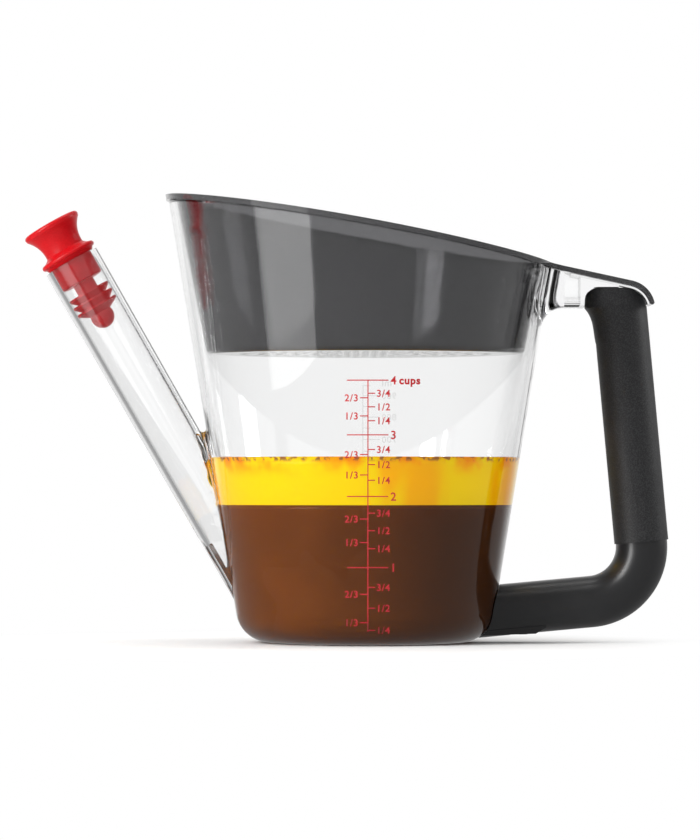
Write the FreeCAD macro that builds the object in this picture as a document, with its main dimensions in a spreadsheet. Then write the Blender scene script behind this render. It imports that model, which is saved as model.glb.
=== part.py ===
# Gravy separator: a clear measuring jug with a low spout, a lift-out strainer, a spout stopper and a handle.
#
# Millimetres. The origin is the centre of the jug's base on the table and +Z is up. The spout leans towards -X,
# the handle stands on +X, and both halves either side of the XZ plane are alike.

import FreeCAD, Part
import math
import os
import re

import Sketcher

# Driving sizes: name, value, what it measures
SIZES = [
    # Cup
    ("foot_radius", 48.4, "outer wall line carried down to the table"),
    ("mouth_radius", 76.6, "outer wall line at mouth_height"),
    ("mouth_height", 173.0, "height at which mouth_radius is measured"),
    ("cup_wall", 2.5, "thickness of the cup's wall, seen level"),
    ("cup_floor", 3.0, "thickness of the cup's floor"),
    ("base_round", 13.0, "outside rounding between base and wall"),
    # Sloping rim, shared by strainer and jug
    ("rim_margin", 3.4, "how far past mouth_radius the rim's slope is drawn at each end"),
    ("rim_high", 173.9, "top of the strainer's lip at -rim_reach"),
    ("arm_depth", 15.2, "height of the strainer's lip above the arm's underside, at +rim_reach"),
    ("rim_bulge", 1.45, "how far the slope bows up between its ends"),
    ("lip_thick", 2.0, "thickness of the strainer's lip and tongue"),
    ("lip_overhang", 1.0, "how far the lip stands out past the jug"),
    ("seat_gap", 0.25, "clearance between pieces that seat on each other"),
    # Strainer basket
    ("basket_floor_height", 111.9, "underside of the basket's floor"),
    ("basket_inset", 2.1, "clearance between the basket's floor edge and the cup"),
    ("basket_wall", 2.0, "thickness of the basket's wall"),
    ("basket_floor", 2.2, "thickness of the basket's floor"),
    ("basket_round", 2.0, "rounding under the basket's edge"),
    ("basket_play", 0.5, "clearance between the basket and the jug under the lip"),
    ("drain_radius", 1.5, "radius of each drain hole"),
    ("drain_pitch", 6.8, "spacing of the rings of drain holes"),
    ("drain_margin", 5.0, "plain band left round the drain holes"),
    # Tongue over the handle
    ("tongue_run", 17.0, "X from the elbow's centre to where the tongue starts to curl down"),
    ("tongue_curl", 12.0, "outside radius of the tongue's curl"),
    ("tongue_turn", 61.0, "angle through which the tongue curls"),
    ("tongue_overlap", 1.0, "how much wider each side of the tongue is than the arm"),
    ("tongue_corner", 7.0, "rounding of the tongue's corners, seen from above"),
    ("tip_round", 1.1, "rounding of the tongue's tip, a little over half the lip's thickness"),
    ("tongue_root", 7.0, "rounding where the tongue runs into the lip, seen from above"),
    # Clear arm from cup to grip
    ("arm_width", 24.0, "width of the clear arm"),
    ("arm_height", 129.8, "height of the arm's underside"),
    ("arm_run", 12.0, "X from the elbow's centre to the end of the arm's bar"),
    ("arm_corner", 5.0, "rounding along the arm's lower edges"),
    ("arm_root", 9.0, "rounding where the arm runs into the cup"),
    ("arm_shell", 1.6, "thickness of the arm's floor, sides and end"),
    ("channel_inset", 7.4, "clear plastic between the cup's outside and the hollow in the arm"),
    ("cap_thick", 0.7, "thickness of the clear cap between the tongue and the grip"),
    ("tenon_length", 7.0, "size along X of the peg that enters the post"),
    ("tenon_width", 8.0, "size along Y of the peg that enters the post"),
    ("tenon_depth", 16.8, "how far the peg's lower end lies below the arm's underside"),
    ("fit_gap", 0.2, "clearance round pegs, lugs and the post"),
    # Spout
    ("spout_inset", 12.7, "how far the middle of the spout's lower end lies inside foot_radius"),
    ("spout_foot", 10.6, "height of the middle of the spout's lower end"),
    ("spout_lean", 29.8, "lean of the spout from upright, in degrees"),
    ("spout_length", 158.0, "length of the spout along its middle"),
    ("spout_mouth_radius", 11.1, "outside radius at the mouth"),
    ("spout_foot_radius", 10.4, "outside radius at the lower end"),
    ("spout_wall", 2.35, "thickness of the spout's wall"),
    ("spout_web", 1.3, "rounding where the spout runs into the cup"),
    ("port_depth", 4.8, "depth of the passage from spout to cup, across the spout"),
    ("port_width", 11.2, "width of the passage"),
    ("port_length", 30.0, "length of the passage, along the spout"),
    ("port_end", 6.0, "distance from the passage to the spout's lower end"),
    # Stopper, measured along the spout from its mouth
    ("stopper_top", 16.8, "height of the pull knob's top above the mouth"),
    ("stopper_dish", 0.8, "how far the knob's top dips in its middle"),
    ("stopper_knob_radius", 11.6, "radius of the pull knob"),
    ("stopper_knob_round", 1.2, "rounding of the knob's upper edge"),
    ("stopper_knob_thick", 2.2, "thickness of the knob's edge"),
    ("stopper_knob_taper", 0.3, "how far the knob's edge draws in towards its underside"),
    ("stopper_flare", 12.0, "radius of the curve under the knob"),
    ("stopper_waist_radius", 7.85, "radius of the waist under the knob"),
    ("stopper_waist_height", 5.2, "height of the waist above the mouth"),
    ("stopper_waist_curve", 5.0, "radius of the curve between waist and flange"),
    ("stopper_flange_radius", 11.3, "radius of the flange over the mouth"),
    ("stopper_flange_height", 2.6, "height of the flange's edge above the mouth"),
    ("stopper_flange_round", 1.0, "half the thickness of the flange's edge"),
    ("stopper_foot_radius", 9.4, "radius of the flange's foot that sits on the mouth"),
    ("stopper_collar_length", 9.0, "length of the collar inside the mouth"),
    ("stopper_collar_round", 0.8, "rounding of the collar's end"),
    ("stopper_neck_radius", 4.3, "radius of the neck between collar and ribs"),
    ("stopper_neck_length", 4.4, "length of the neck"),
    ("stopper_rib_pitch", 3.1, "spacing of the sealing ribs"),
    ("stopper_rib_thick", 0.8, "thickness of a rib at its edge"),
    ("stopper_rib_root", 5.8, "radius to which a rib narrows where the next one starts"),
    ("stopper_rib_count", 3, "number of sealing ribs"),
    ("stopper_tail_drop", 4.7, "distance from the last rib's top to the middle of the ball at the end"),
    ("stopper_tail_radius", 4.65, "radius of the ball"),
    ("stopper_tail_start", 20.0, "angle above the ball's middle at which the last rib meets it, in degrees"),
    ("stopper_play", 0.15, "clearance between stopper and spout"),
    # Handle
    ("hand_room", 9.4, "X from mouth_radius to the centre of the elbow's bend"),
    ("elbow_z", 37.0, "height of the centre of the elbow's bend"),
    ("elbow_bend", 21.4, "bend radius along the middle of the elbow"),
    ("handle_lean", 5.3, "lean of the grip from upright, in degrees"),
    ("frame_depth", 20.0, "depth of the elbow and lower arm, in the plane of the handle"),
    ("frame_width", 22.4, "width of the elbow and lower arm"),
    ("sleeve_step", 0.5, "how far the sleeve stands proud of the elbow"),
    ("sleeve_wall", 3.0, "thickness of the soft sleeve"),
    ("post_drop", 1.8, "how far the post's top lies below the arm's underside"),
    ("grip_rise", 7.5, "height of the grip's top above the arm's underside"),
    ("grip_round", 5.0, "rounding of the grip's top towards the cup"),
    ("nose_reach", 3.1, "how far the grip's nose stands out towards the cup"),
    ("nose_setback", 1.0, "X from the nose to the elbow's centre"),
    ("nose_drop", 0.6, "how far the nose lies below the arm's underside"),
    ("nose_flare", 14.2, "length over which the grip flares out to the nose"),
    ("lug_run", 19.6, "X from foot_radius to the end of the jug's lug inside the lower arm"),
    ("lug_low", 8.6, "height of the lug's underside"),
    ("lug_high", 17.6, "height of the lug's top"),
    ("lug_width", 11.0, "width of the lug"),
    ("pad_height", 2.4, "height of the underside of the pad by the cup"),
    ("pad_width", 15.0, "width of the pad by the cup"),
    ("pad_run", 17.6, "X from foot_radius to where the pad starts to step up"),
    ("pad_rise", 1.0, "how far the pad's underside rises along its length"),
    ("pad_step", 2.4, "height of the step at the pad's end"),
    ("pad_step_run", 4.0, "length of the step at the pad's end"),
    # Screw
    ("screw_run", 11.1, "X from foot_radius to the screw"),
    ("screw_radius", 1.75, "radius of the screw's shank"),
    ("screw_head_radius", 3.5, "radius of the screw's head"),
    ("screw_head_height", 2.0, "height of the screw's head"),
    ("screw_tip", 16.4, "height of the screw's tip"),
    ("screw_seat", 6.6, "height of the face that the screw's head pulls on"),
    ("screw_play", 0.05, "clearance round the screw's shank"),
    ("screw_head_round", 0.6, "rounding of the screw's head"),
    ("cross_reach", 2.2, "half the length of the cross in the screw's head"),
    ("cross_half", 0.5, "half the width of the cross"),
    ("cross_depth", 1.0, "depth of the cross"),
    ("plug_thick", 1.4, "thickness of the plug under the screw"),
    ("plug_play", 0.1, "clearance round the plug"),
    ("plug_gap", 0.2, "clearance between the plug and the screw's head"),
    # Building
    ("cut_past", 5.0, "how far blanks and cuts run past the faces that they open"),
    ("blank_spare", 8.0, "how far blanks stand above the rim before it is cut"),
]

# Sizes worked out from the driving ones, as formulas
WORKED_OUT = {
    "wall_slope": "(mouth_radius - foot_radius) / mouth_height",
    "wall_normal": "sqrt(1 + wall_slope * wall_slope)",
    "base_flat": "foot_radius + wall_slope * base_round - base_round * wall_normal",
    "inner_foot": "foot_radius - cup_wall",
    "inner_round": "base_round - cup_wall",
    "inner_flat": "inner_foot + wall_slope * (cup_floor + inner_round) - inner_round * wall_normal",
    "blank_top": "rim_high + blank_spare",
    "rim_reach": "mouth_radius + rim_margin",
    "rim_low": "arm_height + arm_depth",
    "rim_rise": "(rim_high - rim_low) / 2",
    "rim_half_chord": "sqrt(rim_reach * rim_reach + rim_rise * rim_rise)",
    "rim_radius": "(rim_half_chord * rim_half_chord + rim_bulge * rim_bulge) / (2 * rim_bulge)",
    "rim_turn": "asin(rim_half_chord / rim_radius)",
    "rim_tilt": "atan(rim_rise / rim_reach) + rim_turn",
    "rim_start_tilt": "atan(rim_rise / rim_reach) - rim_turn",
    "tongue_low": "rim_low - (tongue_reach - rim_reach) * tan(rim_tilt)",
    "tongue_end_tilt": "rim_tilt + tongue_turn * 1 deg",
    "elbow_x": "mouth_radius + hand_room",
    "tongue_reach": "elbow_x + tongue_run",
    "tongue_tip_x": "tongue_centre_x + tongue_curl",
    "tongue_centre_x": "tongue_reach - tongue_curl * sin(rim_tilt)",
    "tongue_centre_z": "tongue_low - tongue_curl * cos(rim_tilt)",
    "jug_drop": "lip_thick + seat_gap",
    "cap_drop": "jug_drop + cap_thick",
    "grip_drop": "cap_drop + seat_gap",
    "basket_floor_radius": "inner_foot + wall_slope * basket_floor_height - basket_inset",
    "basket_top_radius": "mouth_radius - cup_wall - basket_play",
    "lip_blank_low": "tongue_centre_z - tongue_curl",
    "arm_reach": "elbow_x + arm_run",
    "channel_start": "foot_radius + wall_slope * arm_height + channel_inset",
    "channel_end": "nose_x - seat_gap - arm_shell",
    "tenon_rise": "arm_height - tenon_depth / 2 - elbow_z - elbow_bend * sin(handle_lean)",
    "tenon_x": "elbow_x + elbow_bend * cos(handle_lean) - tenon_rise * tan(handle_lean)",
    "tenon_near": "tenon_x - tenon_length / 2",
    "tenon_far": "tenon_x + tenon_length / 2",
    "tenon_foot": "arm_height - tenon_depth",
    "spout_x": "spout_inset - foot_radius - spout_length * sin(spout_lean)",
    "spout_z": "spout_foot + spout_length * cos(spout_lean)",
    "basket_slope": "(basket_top_radius - basket_floor_radius) / (mouth_height - basket_floor_height)",
    "spout_taper": "(spout_mouth_radius - spout_foot_radius) / spout_length",
    "bore_mouth": "spout_mouth_radius - spout_wall",
    "bore_foot": "spout_foot_radius - spout_wall",
    "stopper_body_radius": "bore_mouth - spout_taper * stopper_length - stopper_play",
    "stopper_core_top": "-stopper_collar_length - stopper_neck_length",
    "stopper_ribs_end": "stopper_core_top - stopper_rib_pitch * (stopper_rib_count - 1)",
    "stopper_ball": "stopper_ribs_end - stopper_tail_drop",
    "stopper_length": "stopper_tail_radius - stopper_ball",
    "grip_top": "arm_height + grip_rise",
    "nose_x": "elbow_x - nose_setback",
    "nose_height": "arm_height - elbow_z - nose_drop",
    "nose_start": "nose_height - nose_flare",
    "post_length": "arm_height - elbow_z - post_drop",
    "lug_reach": "foot_radius + lug_run",
    "pad_reach": "foot_radius + pad_run",
    "screw_x": "foot_radius + screw_run",
    "recess_radius": "screw_head_radius + fit_gap",
    "post_depth": "frame_depth + 2 * sleeve_step - 2 * sleeve_wall - 2 * fit_gap",
    "post_width": "frame_width + 2 * sleeve_step - 2 * sleeve_wall - 2 * fit_gap",
    "sleeve_depth": "frame_depth + 2 * sleeve_step",
    "sleeve_width": "frame_width + 2 * sleeve_step",
}

# The grip's flare: how much of nose_reach it has at which share of the way up to the nose
FLARE = [(0.0, 0.0), (0.15, 0.4), (0.45, 0.78), (1.0, 1.0)]

# How closely an edge must lie on a surface to be picked, in millimetres
EDGE_SLACK = 0.05

doc = FreeCAD.newDocument("separator")
sheet = doc.addObject("Spreadsheet::Sheet", "Sizes")
for row, (size_name, size_value, meaning) in enumerate(SIZES, start=1):
    sheet.set("A%d" % row, meaning)
    sheet.set("B%d" % row, str(size_value))
    sheet.setAlias("B%d" % row, size_name)
doc.recompute()
SIZE_NAMES = {entry[0] for entry in SIZES}


def formula(text):
    """Write a formula of plain size names as one that points at the sheet's cells."""

    def swap(match):
        word = match.group(0)
        if word in WORKED_OUT:
            return "(" + formula(WORKED_OUT[word]) + ")"
        if word in SIZE_NAMES:
            return "Sizes." + word
        return word

    return re.sub(r"[a-z][a-z_]*", swap, text)


def value(text):
    """The number that a formula gives at the sheet's present sizes."""
    result = sheet.evalExpression(formula(text))
    return float(getattr(result, "Value", result))


def tie(item, prop, text):
    """Bind a property of an object to a formula."""
    item.setExpression(prop, formula(text))


def new_body(label):
    """A body for one piece of the object."""
    body = doc.addObject("PartDesign::Body", label)
    body.Label = label
    return body


def origin_item(body, role):
    """One of the body's own planes or axes."""
    return next(item for item in body.Origin.OriginFeatures if item.Role == role)


def new_sketch(body, name, plane):
    """An empty sketch on one of the body's planes."""
    sketch = body.newObject("Sketcher::SketchObject", body.Label + "_" + name)
    sketch.AttachmentSupport = [(origin_item(body, plane), "")]
    sketch.MapMode = "FlatFace"
    return sketch


def hold(sketch, curve, end, across, up):
    """Hold a point of a curve at a place given by two formulas."""
    for axis, text in (("X", across), ("Y", up)):
        rule = Sketcher.Constraint("Distance" + axis, -1, 1, curve, end, value(text))
        number = sketch.addConstraint(rule)
        sketch.setExpression("Constraints[%d]" % number, formula(text))


def arc_between(start, end, radius, turn):
    """The arc shorter than half a circle from start to end; turn is 1 to the left and -1 to the right."""
    chord = end - start
    rise = math.sqrt(max(radius * radius - chord.Length * chord.Length / 4, 0.0))
    side = FreeCAD.Vector(-chord.y, chord.x, 0).normalize() * turn
    centre = (start + end) * 0.5 + side * rise
    first, last = (start, end) if turn > 0 else (end, start)
    angles = [math.atan2(point.y - centre.y, point.x - centre.x) for point in (first, last)]
    circle = Part.Circle(centre, FreeCAD.Vector(0, 0, 1), radius)
    return Part.ArcOfCircle(circle, angles[0], angles[1])


def outline(sketch, corners):
    """Draw a closed outline. A corner is (across, up), with (radius, turn) added if an arc leaves it."""
    places = [FreeCAD.Vector(value(corner[0]), value(corner[1]), 0) for corner in corners]
    ends = []
    for number, corner in enumerate(corners):
        start, end = places[number], places[(number + 1) % len(corners)]
        if len(corner) == 2:
            curve = sketch.addGeometry(Part.LineSegment(start, end))
            ends.append((curve, 1, 2))
            continue
        radius, turn = corner[2:]
        curve = sketch.addGeometry(arc_between(start, end, value(radius), turn))
        rule = sketch.addConstraint(Sketcher.Constraint("Radius", curve, value(radius)))
        sketch.setExpression("Constraints[%d]" % rule, formula(radius))
        ends.append((curve, 1, 2) if turn > 0 else (curve, 2, 1))
    for number, (curve, first, _) in enumerate(ends):
        before, _, last = ends[number - 1]
        sketch.addConstraint(Sketcher.Constraint("Coincident", before, last, curve, first))
        hold(sketch, curve, first, corners[number][0], corners[number][1])


def circle(sketch, across, up, radius):
    """Draw a circle held by formulas."""
    middle = FreeCAD.Vector(value(across), value(up), 0)
    curve = sketch.addGeometry(Part.Circle(middle, FreeCAD.Vector(0, 0, 1), value(radius)))
    hold(sketch, curve, 3, across, up)
    rule = sketch.addConstraint(Sketcher.Constraint("Radius", curve, value(radius)))
    sketch.setExpression("Constraints[%d]" % rule, formula(radius))


def oval(sketch, across, up, half_across, half_up):
    """Draw an ellipse whose half sizes and middle are formulas."""
    wide = value(half_across) > value(half_up)
    middle = FreeCAD.Vector(value(across), value(up), 0)
    right = middle + FreeCAD.Vector(value(half_across), 0, 0)
    top = middle + FreeCAD.Vector(0, value(half_up), 0)
    major, minor = (right, top) if wide else (top, right)
    curve = sketch.addGeometry(Part.Ellipse(major, minor, middle))
    sketch.exposeInternalGeometry(curve)
    hold(sketch, curve, 3, across, up)
    long_axis, short_axis = curve + 1, curve + 2
    across_axis, up_axis = (long_axis, short_axis) if wide else (short_axis, long_axis)
    sketch.addConstraint(Sketcher.Constraint("Horizontal", across_axis))
    for axis, half in ((across_axis, half_across), (up_axis, half_up)):
        rule = sketch.addConstraint(Sketcher.Constraint("Distance", axis, 2 * value(half)))
        sketch.setExpression("Constraints[%d]" % rule, formula("2 * (" + half + ")"))


def box(sketch, left, right, low, high):
    """Draw a rectangle from four formulas."""
    outline(sketch, [(left, low), (right, low), (right, high), (left, high)])


def feature(body, kind, name, sketch, side="One side", **formulas):
    """Add a sketch's feature, with its sizes tied to formulas."""
    item = body.newObject("PartDesign::" + kind, body.Label + "_" + name)
    item.Profile = sketch
    if kind in ("Pad", "Pocket"):
        item.SideType = side
    for prop, text in formulas.items():
        tie(item, prop, text)
    sketch.Visibility = False
    return item


def turned(body, kind, name, sketch, axis="V_Axis", angle="360"):
    """Turn a sketch about one of its own axes, to add or to cut."""
    item = body.newObject("PartDesign::" + kind, body.Label + "_" + name)
    item.Profile = sketch
    item.ReferenceAxis = (sketch, [axis])
    tie(item, "Angle", angle)
    return item


def round_edges(body, name, radius, wanted):
    """Round the edges of the body so far that pass a test."""
    doc.recompute()
    base = body.Tip
    names = ["Edge%d" % n for n, edge in enumerate(base.Shape.Edges, start=1) if wanted(edge)]
    item = body.newObject("PartDesign::Fillet", body.Label + "_" + name)
    item.Base = (base, names)
    tie(item, "Radius", radius)
    doc.recompute()
    return item


def points_on(edge):
    """Three points of an edge: near both ends and in the middle."""
    span = edge.LastParameter - edge.FirstParameter
    return [edge.valueAt(edge.FirstParameter + share * span) for share in (0.05, 0.5, 0.95)]


def on_cone(edge, foot):
    """Whether an edge runs on a cone like the cup's, whose radius at the table is foot."""
    return all(abs(math.hypot(p.x, p.y) - foot - value("wall_slope") * p.z) < EDGE_SLACK
               for p in points_on(edge))


def beside(edge, half):
    """Whether an edge stays on the handle's side, within half a width."""
    return all(p.x > 0 and abs(p.y) < half + EDGE_SLACK for p in points_on(edge))


def rim_slope(drop):
    """Corners along the rim's slope from -rim_reach to the tongue's tip, lowered square to it by drop."""
    outer = "(rim_radius - " + drop + ")"
    curl = "(tongue_curl - " + drop + ")"
    slope_x = "rim_reach * -1 - " + drop + " * sin(rim_start_tilt)"
    slope_z = "rim_high - " + drop + " * cos(rim_start_tilt)"
    bend_x = "rim_reach - " + drop + " * sin(rim_tilt)"
    bend_z = "rim_low - " + drop + " * cos(rim_tilt)"
    return [
        (slope_x, slope_z, outer, -1),
        (bend_x, bend_z),
        (
            "tongue_centre_x + " + curl + " * sin(rim_tilt)",
            "tongue_centre_z + " + curl + " * cos(rim_tilt)",
            curl,
            -1,
        ),
        (
            "tongue_centre_x + " + curl + " * sin(tongue_end_tilt)",
            "tongue_centre_z + " + curl + " * cos(tongue_end_tilt)",
        ),
    ]


def cut_above_rim(body, sketch, drop, shoulder=None):
    """Cut away all that stands above the rim's slope, lowered by drop, and a shoulder under its tip."""
    slope = rim_slope(drop)
    if shoulder:
        tip_x, tip_z = slope[-1]
        slope.append((tip_x, tip_z + " - " + shoulder))
    outline(sketch, slope + [
        ("tongue_tip_x + cut_past", slope[-1][1]),
        ("tongue_tip_x + cut_past", "blank_top + cut_past"),
        ("-rim_reach - cut_past", "blank_top + cut_past"),
        ("-rim_reach - cut_past", slope[0][1]),
    ])
    feature(body, "Pocket", "rim_cut", sketch, "Symmetric", Length="4 * rim_reach")


def cup_outline(grow):
    """The cup's outer shape as half a section, grown all round by a clearance."""
    return [
        ("0", "-(" + grow + ")"),
        ("base_flat", "-(" + grow + ")", "base_round + " + grow, 1),
        (
            "base_flat + (base_round + " + grow + ") / wall_normal",
            "base_round - (base_round + " + grow + ") * wall_slope / wall_normal",
        ),
        ("foot_radius + wall_slope * blank_top + (" + grow + ") * wall_normal", "blank_top"),
        ("0", "blank_top"),
    ]


def on_spout(along, out):
    """The place at a distance along the spout from its mouth and a distance out from its middle line."""
    across = "spout_x + (%s) * sin(spout_lean) + (%s) * cos(spout_lean)" % (along, out)
    up = "spout_z - (%s) * cos(spout_lean) + (%s) * sin(spout_lean)" % (along, out)
    return across, up


def spout_half_section(near, far, start, end):
    """Half a section of a tapered tube along the spout, from start to end below the mouth."""
    return [on_spout(start, "0"), on_spout(start, near), on_spout(end, far), on_spout(end, "0")]


def spout_axis(sketch):
    """Add the spout's middle line to a sketch as its own axis."""
    section = spout_half_section("0", "0", "0", "spout_length")
    ends = [FreeCAD.Vector(value(place[0]), value(place[1]), 0) for place in (section[0], section[3])]
    line = sketch.addGeometry(Part.LineSegment(*ends), True)
    hold(sketch, line, 1, *section[0])
    hold(sketch, line, 2, *section[3])


def arm_section(body, name, inset):
    """Half pipe with an open top: the section of the arm, drawn in from its outside by inset."""
    sketch = new_sketch(body, name, "YZ_Plane")
    half = "(arm_width / 2 - " + inset + ")"
    corner = "(arm_corner - " + inset + ")"
    low = "(arm_height + " + inset + ")"
    outline(sketch, [
        ("-" + half + " + " + corner, low),
        (half + " - " + corner, low, corner, 1),
        (half, low + " + " + corner),
        (half, "rim_low + cut_past"),
        ("-" + half, "rim_low + cut_past"),
        ("-" + half, low + " + " + corner, corner, 1),
    ])
    return sketch


def add_arm(body):
    """The clear arm from inside the cup to over the grip, its end shaped to the grip's top."""
    sketch = arm_section(body, "arm_section", "0")
    feature(body, "Pad", "arm", sketch, Length="arm_reach")
    sketch = new_sketch(body, "grip_seat", "XZ_Plane")
    top = "grip_top + seat_gap"
    outline(sketch, [
        ("nose_x - seat_gap", "arm_height - cut_past"),
        ("tongue_tip_x + cut_past", "arm_height - cut_past"),
        ("tongue_tip_x + cut_past", top),
        ("nose_x + grip_round", top, "grip_round + seat_gap", 1),
        ("nose_x - seat_gap", "grip_top - grip_round"),
    ])
    feature(body, "Pocket", "grip_seat_cut", sketch, "Symmetric", Length="2 * arm_width")


def add_spout(body):
    """The spout, its bore and the low passage from it into the cup."""
    sketch = new_sketch(body, "spout_section", "XZ_Plane")
    outline(sketch, spout_half_section("spout_mouth_radius", "spout_foot_radius", "0", "spout_length"))
    spout_axis(sketch)
    turned(body, "Revolution", "spout", sketch, "Axis0")
    widest = value("2 * spout_mouth_radius")

    def web_edge(edge):
        return on_cone(edge, value("foot_radius")) and all(
            p.x < 0 and abs(p.y) < widest and value("cup_floor") < p.z < value("basket_floor_height")
            for p in points_on(edge))

    round_edges(body, "spout_web", "spout_web", web_edge)

    # The bore, then the cup's wall put back across it
    sketch = new_sketch(body, "bore_section", "XZ_Plane")
    outline(sketch, spout_half_section("bore_mouth + cut_past * spout_taper",
                                       "bore_foot - cut_past * spout_taper",
                                       "-cut_past", "spout_length + cut_past"))
    spout_axis(sketch)
    turned(body, "Groove", "bore", sketch, "Axis0")
    sketch = new_sketch(body, "wall_section", "XZ_Plane")
    outline(sketch, cup_outline("0"))
    turned(body, "Revolution", "wall", sketch)


def make_jug():
    """The clear cup, its spout and the arm over the grip, moulded as one piece."""
    body = new_body("jug")
    add_arm(body)

    # Cup, solid for now
    sketch = new_sketch(body, "cup_section", "XZ_Plane")
    outline(sketch, cup_outline("0"))
    turned(body, "Revolution", "cup", sketch)

    def root_edge(edge):
        return (on_cone(edge, value("foot_radius")) and beside(edge, value("arm_width / 2"))
                and edge.BoundBox.ZMin > value("arm_height") - EDGE_SLACK)

    round_edges(body, "arm_root", "arm_root", root_edge)
    add_spout(body)

    # Inside of the cup
    sketch = new_sketch(body, "cavity_section", "XZ_Plane")
    outline(sketch, [
        ("0", "cup_floor"),
        ("inner_flat", "cup_floor", "inner_round", 1),
        (
            "inner_flat + inner_round / wall_normal",
            "cup_floor + inner_round - inner_round * wall_slope / wall_normal",
        ),
        ("inner_foot + wall_slope * (blank_top + cut_past)", "blank_top + cut_past"),
        ("0", "blank_top + cut_past"),
    ])
    turned(body, "Groove", "cavity", sketch)

    # Passage through the cup's wall, against the spout's outer side
    sketch = new_sketch(body, "port_section", "XZ_Plane")
    port_high = "spout_length - port_end - port_length"
    port_low = "spout_length - port_end"
    outline(sketch, [
        on_spout(port_high, "-bore_foot"),
        on_spout(port_low, "-bore_foot"),
        on_spout(port_low, "port_depth - bore_foot"),
        on_spout(port_high, "port_depth - bore_foot"),
    ])
    feature(body, "Pocket", "port", sketch, "Symmetric", Length="port_width")

    # Lug inside the lower arm of the handle, with its screw hole
    sketch = new_sketch(body, "lug_outline", "XZ_Plane")
    box(sketch, "foot_radius - cup_wall / 2", "lug_reach", "lug_low", "lug_high")
    feature(body, "Pad", "lug", sketch, "Symmetric", Length="lug_width")
    sketch = new_sketch(body, "lug_hole", "XY_Plane")
    circle(sketch, "screw_x", "0", "screw_radius + screw_play")
    feature(body, "Pocket", "lug_hole_cut", sketch, "Symmetric", Length="2 * (lug_high + cut_past)")

    # Peg that enters the handle's post, and hollow in the arm
    sketch = new_sketch(body, "tenon_outline", "XZ_Plane")
    box(sketch, "tenon_near", "tenon_far", "tenon_foot", "rim_low + cut_past")
    feature(body, "Pad", "tenon", sketch, "Symmetric", Length="tenon_width")
    sketch = arm_section(body, "channel_section", "arm_shell")
    tie(sketch, "AttachmentOffset.Base.z", "channel_start")
    feature(body, "Pocket", "channel", sketch, Length="channel_end - channel_start").Reversed = True
    cut_above_rim(body, new_sketch(body, "rim_outline", "XZ_Plane"), "(jug_drop)")

    # Thin cap over the grip's top, under the tongue
    sketch = new_sketch(body, "cap_outline", "XZ_Plane")
    upper = rim_slope("(jug_drop)")[1:]
    lower = rim_slope("(cap_drop)")[1:]
    outline(sketch, upper + [
        (lower[2][0], lower[2][1], "tongue_curl - cap_drop", 1),
        lower[1][:2],
        lower[0],
    ])
    feature(body, "Pad", "cap", sketch, "Symmetric", Length="arm_width")
    return body


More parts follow.
